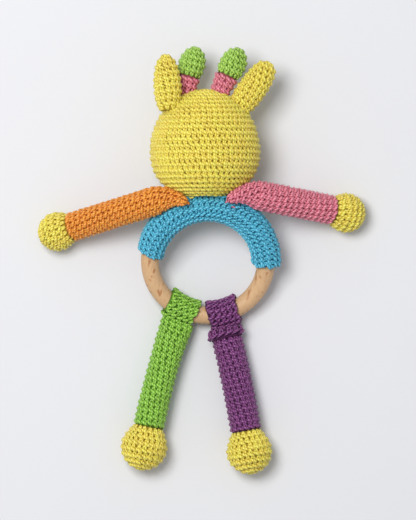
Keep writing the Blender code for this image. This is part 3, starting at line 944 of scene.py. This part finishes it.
class RATTLE_OT_ears(Operator):
    """Crochet the two ears"""
    bl_idname = "rattle.ears"
    bl_label = "Ears"

    def execute(self, context):
        for number, side in enumerate(("left", "right")):
            name = side + "_ear"
            base, across = joint(name + "_bend")
            level = np.cross(UP, across)
            tip = tip_of(name, level)
            length = np.linalg.norm(tip - base) - 0.5 * yarn_sizes().yarn_radius
            radius = skin_radius(shape().ear_radius) + (0.4 * MM if side == "right" else 0)
            widest, fullness = (0.42, 0.9) if side == "left" else (0.46, 0.62)
            widest = widest * length
            swell = [(widest * s - 1.5 * MM, 4.2 * MM + (radius - 4.2 * MM) * sin(pi / 2 * s))
                     for s in np.linspace(0, 1, 12)]
            profile = swell + ball(widest, radius, length - widest, fullness=fullness)[1:]
            form = Limb(straight_line(base, tip), profile, depth=0.86)
            piece = stuffed("yellow_" + name, form, "yellow", seed=31 + number)
            way = unit(tip - base)
            base - 1 * MM * way
            base + 6 * MM * way
            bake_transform(piece)
            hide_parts(name, name + "_stuffing")
        return {'FINISHED'}


class RATTLE_OT_horns(Operator):
    """Crochet the two horns, each a pink stem with a green bulb"""
    bl_idname = "rattle.horns"
    bl_label = "Horns"

    def execute(self, context):
        bulb, bulb_reach, back = 6.5 * MM, 8.2 * MM, 6.4 * MM
        root, stem = skin_radius(4.0 * MM), skin_radius(5.8 * MM)
        round_bulb = skin_radius(bulb)
        for number, side in enumerate(("left", "right")):
            name = side + "_horn"
            base, across = joint(name + "_bend")
            level = np.cross(UP, across)
            tip = tip_of(name + "_tip", level)
            base = base + np.array((-1.4 * MM, 0, 0))
            way = unit(tip - base)
            length = np.linalg.norm(tip - base) - 0.5 * yarn_sizes().yarn_radius
            middle = length - bulb_reach
            change = middle - back
            lower = [(-1.5 * MM, root), (change * 0.5, (root + stem) / 2), (change, stem)]
            upper = [(change + back * s, soft_step(stem, round_bulb, s ** 0.75))
                     for s in np.linspace(0, 1, 10)]
            upper += ball(middle, round_bulb, bulb_reach)[1:]
            line = straight_line(base, tip)
            stem_piece = stuffed("pink_" + name + "_stem", Limb(line, lower), "pink",
                                 seed=41 + number)
            base - 1 * MM * way
            base + 6 * MM * way
            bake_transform(stem_piece)
            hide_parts(name + "_stem", name + "_stuffing")
            tip_piece = stuffed("green_" + name + "_tip", Limb(line, upper), "lime",
                                seed=43 + number)
            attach(tip_piece, name)
            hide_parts(name + "_tip")
        return {'FINISHED'}


class RATTLE_OT_arms(Operator):
    """Crochet the orange and pink arms with their yellow hands"""
    bl_idname = "rattle.arms"
    bl_label = "Arms"

    def execute(self, context):
        radius = skin_radius(shape().arm_radius)
        tip_radius, taper, bend, drift = 0.9 * MM, 18 * MM, 15 * MM, 7 * MM
        back = 8 * MM
        for number, (side, dye, out) in enumerate((("left", "orange", -1), ("right", "pink", 1))):
            pivot, across = joint(side + "_arm_swing")
            hand, hand_radius = ball_of(side + "_hand", (out, 0))
            way = unit(hand - pivot)
            length = np.linalg.norm(hand - pivot)
            legwards = across * (-1 if side == "left" else 1)

            def line(along):
                along = np.asarray(along, float)[..., None]
                near = np.maximum(1 - np.maximum(along, 0) / bend, 0)
                return pivot + way * along + legwards * drift * near * near

            tube = [(taper * s, tip_radius + (radius - tip_radius) * s ** 0.9)
                    for s in np.linspace(0, 1, 10)] + [(length - back, radius)]
            knob = rounded_end(length, back, radius, skin_radius(hand_radius))
            flatness = flattened(4 * MM, 22 * MM, low=0.62)
            arm = stuffed(dye + "_arm", Limb(line, tube, flatness), dye, seed=51 + number, start=1.1)
            pivot + 1 * MM * way
            pivot + 15 * MM * way
            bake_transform(arm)
            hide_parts(side + "_arm", side + "_arm_stuffing")
            hand_piece = stuffed("yellow_" + side + "_hand", Limb(line, knob), "yellow",
                                 seed=53 + number)
            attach(hand_piece, side + "_arm")
            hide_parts(side + "_hand")

            wraps = np.linspace(0, 3, 43)
            hug = (0.55 + 0.28 * wraps)[:, None] * MM
            centre = line((0.2 + 1.1 * wraps) * MM)
            turn = (2 * pi * wraps)[:, None]
            rise = np.cross(across, way)
            coil = centre + hug * (across * np.cos(turn) + rise * np.sin(turn) * 0.8)
            tie = yarn_run(side + "_arm_tie", coil, dye, 0.32 * MM, up=way)
            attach(tie, "sleeve")
            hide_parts(side + "_arm_stitches")

        ring = RingPlace()
        line = ring.surface(radians(67.5) + np.linspace(-0.03, 0.03, 5), radians(56),
                            shape().sleeve_section + np.array((-0.2, 0.5, 0.7, 0.5, -0.2)) * MM)
        tail = yarn_run("pink_yarn_end", line, "pink", 0.35 * MM, up=ring.axis)
        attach(tail, "sleeve")
        return {'FINISHED'}


class RATTLE_OT_legs(Operator):
    """Crochet the green and purple legs, their feet and the loops round the ring"""
    bl_idname = "rattle.legs"
    bl_label = "Legs"

    def execute(self, context):
        ring = RingPlace()
        radius = skin_radius(shape().leg_radius)
        back = 10.6 * MM
        pair = (("left", "green", 1.28), ("right", "purple", 2.5))
        for number, (side, dye, power) in enumerate(pair):
            pivot, across = joint(side + "_leg_swing")
            foot, foot_radius = ball_of(side + "_foot", (0, -1))
            outward = unit(np.cross(UP, across))
            lift = np.cross(across, outward)
            reach = foot - pivot
            end = np.array((reach @ across, reach @ outward, reach @ lift))
            length = np.linalg.norm(reach)
            start_aside = (-1.2 if side == "left" else 0.5) * MM

            def line(along):
                share = np.maximum(np.asarray(along, float)[..., None] / length, 0)
                inside = np.minimum(share, 1)
                past = share - inside
                side_way = end[0] * (inside ** power + power * past)
                side_way = side_way + start_aside * (1 - inside) ** 3
                return pivot + across * side_way + outward * end[1] * share + lift * end[2] * share

            top = 6.4 * MM
            wider = 1.12 if side == "left" else 0.98
            tube = [(top, radius * wider), (top + 8 * MM, radius * (1 + wider) / 2),
                    (top + 24 * MM, radius), (length - back, radius)]
            knob = rounded_end(length, back, radius, skin_radius(foot_radius))
            flatness = flattened(6 * MM, 13 * MM, low=0.44)
            leg_form = Limb(line, tube, flatness)
            leg = stuffed(dye + "_leg", leg_form, dye, seed=61 + number, start=0.35)
            way = unit(line(20 * MM) - pivot)
            pivot + 5 * MM * way
            pivot + 16 * MM * way
            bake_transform(leg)
            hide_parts(side + "_leg", side + "_leg_stuffing")
            foot_piece = stuffed("yellow_" + side + "_foot", Limb(line, knob), "yellow",
                                 seed=63 + number)
            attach(foot_piece, side + "_leg")
            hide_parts(side + "_foot")

            if side == "right":
                strap_end = Flap(leg_form, 2.4 * MM, 7.0 * MM, 2.0 * MM, cover=0.5)
                flap = crochet("purple_strap_end", strap_end, dye, seed=69, start=0.3, turned=True)
                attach(flap, side + "_leg")

            at = ring.turn_of(pivot[None])[0] + radians(-1.0 if side == "left" else 1.5)
            half = 8.0 * MM
            loop_radius = skin_radius(shape().loop_section)
            lip = radians(24)
            band = Wrap(ring, at, at, loop_radius, lip - 2 * pi, lip, half=half)
            loop = crochet(dye + "_loop", band, dye, seed=65 + number, turned=True, start=0.2)
            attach(loop, side + "_loop")
            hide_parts(side + "_leg_loop")

            share = np.linspace(-0.86, 0.86, 49)
            swing = np.sin(np.linspace(0, 9 * pi, len(share)))
            hem_turn = at + share * half / band.reach(lip)
            hem = ring.surface(hem_turn, lip + radians(3) + 0.07 * swing,
                               shape().loop_section + 0.5 * MM + 0 * share)
            tie = yarn_run(side + "_loop_tie", hem, dye, 0.5 * MM)
            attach(tie, side + "_loop")
            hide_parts(side + "_loop_stitches")
        return {'FINISHED'}


class RATTLE_OT_rattle_insides(Operator):
    """Finish the capsule and beads inside the head"""
    bl_idname = "rattle.rattle_insides"
    bl_label = "Rattle capsule and beads"

    def execute(self, context):
        shell = moulded_plastic("capsule_plastic", (0.78, 0.80, 0.84), 0.38)
        bead = moulded_plastic("bead_plastic_grey", (0.28, 0.30, 0.34), 0.22)
        for name, node in frame["nodes"].items():
            if name.startswith("rattle_"):
                node.data.materials.clear()
                node.data.materials.append(bead if "bead" in name else shell)
        return {'FINISHED'}


class RATTLE_OT_stage(Operator):
    """Set the table, the lights and the camera"""
    bl_idname = "rattle.stage"
    bl_label = "Stage"

    def execute(self, context):
        look = context.scene.rattle_stage
        context.scene.view_settings.view_transform = 'Standard'
        middle = RingPlace().middle
        table_top(look)
        soft_lights(look, middle)
        camera = bpy.data.objects.new("camera", bpy.data.cameras.new("camera"))
        context.scene.collection.objects.link(camera)
        camera.location = (middle[0], middle[1] + 0.5 * MM, middle[2] + look.camera_height)
        camera.data.sensor_fit = 'VERTICAL'
        camera.data.sensor_height = 24
        camera.data.lens = 24 * look.camera_height / look.picture_height
        camera.data.clip_end = 20
        context.scene.camera = camera
        return {'FINISHED'}


def table_top(look):
    """A wide plain table with the faintest unevenness in its paint."""
    steps = 9
    size = 1.6
    axis = np.linspace(-size, size, steps)
    x, y = np.meshgrid(axis, axis, indexing="ij")
    low = cad_box[0][2] - 0.1 * MM
    points = np.stack([x, y, np.full_like(x, low)], -1).reshape(-1, 3)
    index = np.arange(steps * steps).reshape(steps, steps)
    faces = np.stack([index[:-1, :-1], index[1:, :-1], index[1:, 1:], index[:-1, 1:]], -1).reshape(-1, 4)
    mesh = bpy.data.meshes.new("table")
    mesh.from_pydata(points.tolist(), [], faces.tolist())
    graph = Graph("table_paint")
    place = graph.add("ShaderNodeTexCoord", out="Object")
    noise = graph.add("ShaderNodeTexNoise", None, place, Scale=14.0, Detail=3.0)
    tint = tuple(look.floor)
    painted = graph.mix(noise, shade(tint, 0.985), shade(tint, 1.01))
    mesh.materials.append(graph.surface(base_color=painted, roughness=0.75))
    floor = bpy.data.objects.new("table", mesh)
    bpy.context.scene.collection.objects.link(floor)


def soft_lights(look, middle):
    """A broad window of light from the upper left, and pale light from all round."""
    lamp = bpy.data.lights.new("window", 'AREA')
    lamp.shape, lamp.size, lamp.size_y = 'RECTANGLE', 0.5, 0.5
    lamp.energy = look.key_power
    window = bpy.data.objects.new("window", lamp)
    bpy.context.scene.collection.objects.link(window)
    window.location = Vector(middle) + Vector((-0.32, 0.28, 1.2))
    window.rotation_euler = (Vector(middle) - window.location).to_track_quat('-Z', 'Y').to_euler()
    world = bpy.context.scene.world or bpy.data.worlds.new("world")
    bpy.context.scene.world = world
    world.use_nodes = True
    background = world.node_tree.nodes["Background"]
    background.inputs["Color"].default_value = (0.93, 0.95, 1.0, 1)
    background.inputs["Strength"].default_value = look.fill


class RATTLE_PT_panel(Panel):
    """Sizes, colours and the pieces of the rattle"""
    bl_idname = "RATTLE_PT_panel"
    bl_label = "Crocheted rattle"
    bl_space_type = 'VIEW_3D'
    bl_region_type = 'UI'
    bl_category = "Rattle"

    def draw(self, context):
        layout = self.layout
        for title, group in (("Yarn", "rattle_yarn"), ("Colours", "rattle_colours"),
                             ("Shape", "rattle_shape"), ("Stage", "rattle_stage")):
            box = layout.box()
            box.label(text=title)
            values = getattr(context.scene, group)
            for key in values.__annotations__:
                box.prop(values, key)
        for step in STEPS:
            layout.operator(step.bl_idname)


STEPS = (
    RATTLE_OT_teething_ring, RATTLE_OT_sleeve, RATTLE_OT_head, RATTLE_OT_ears, RATTLE_OT_horns,
    RATTLE_OT_arms, RATTLE_OT_legs, RATTLE_OT_rattle_insides, RATTLE_OT_stage,
)
GROUPS = {
    "rattle_yarn": YarnSizes, "rattle_colours": ToyColours,
    "rattle_shape": ToyShape, "rattle_stage": StageLook,
}


def register():
    for group in GROUPS.values():
        bpy.utils.register_class(group)
    for step in STEPS:
        bpy.utils.register_class(step)
    bpy.utils.register_class(RATTLE_PT_panel)
    for name, group in GROUPS.items():
        setattr(bpy.types.Scene, name, PointerProperty(type=group))


def unregister():
    for name in GROUPS:
        delattr(bpy.types.Scene, name)
    bpy.utils.unregister_class(RATTLE_PT_panel)
    for step in reversed(STEPS):
        bpy.utils.unregister_class(step)
    for group in GROUPS.values():
        bpy.utils.unregister_class(group)


def main():
    register()
    for step in STEPS:
        group, name = step.bl_idname.split(".")
        getattr(getattr(bpy.ops, group), name)()


if __name__ == "__main__":
    main()
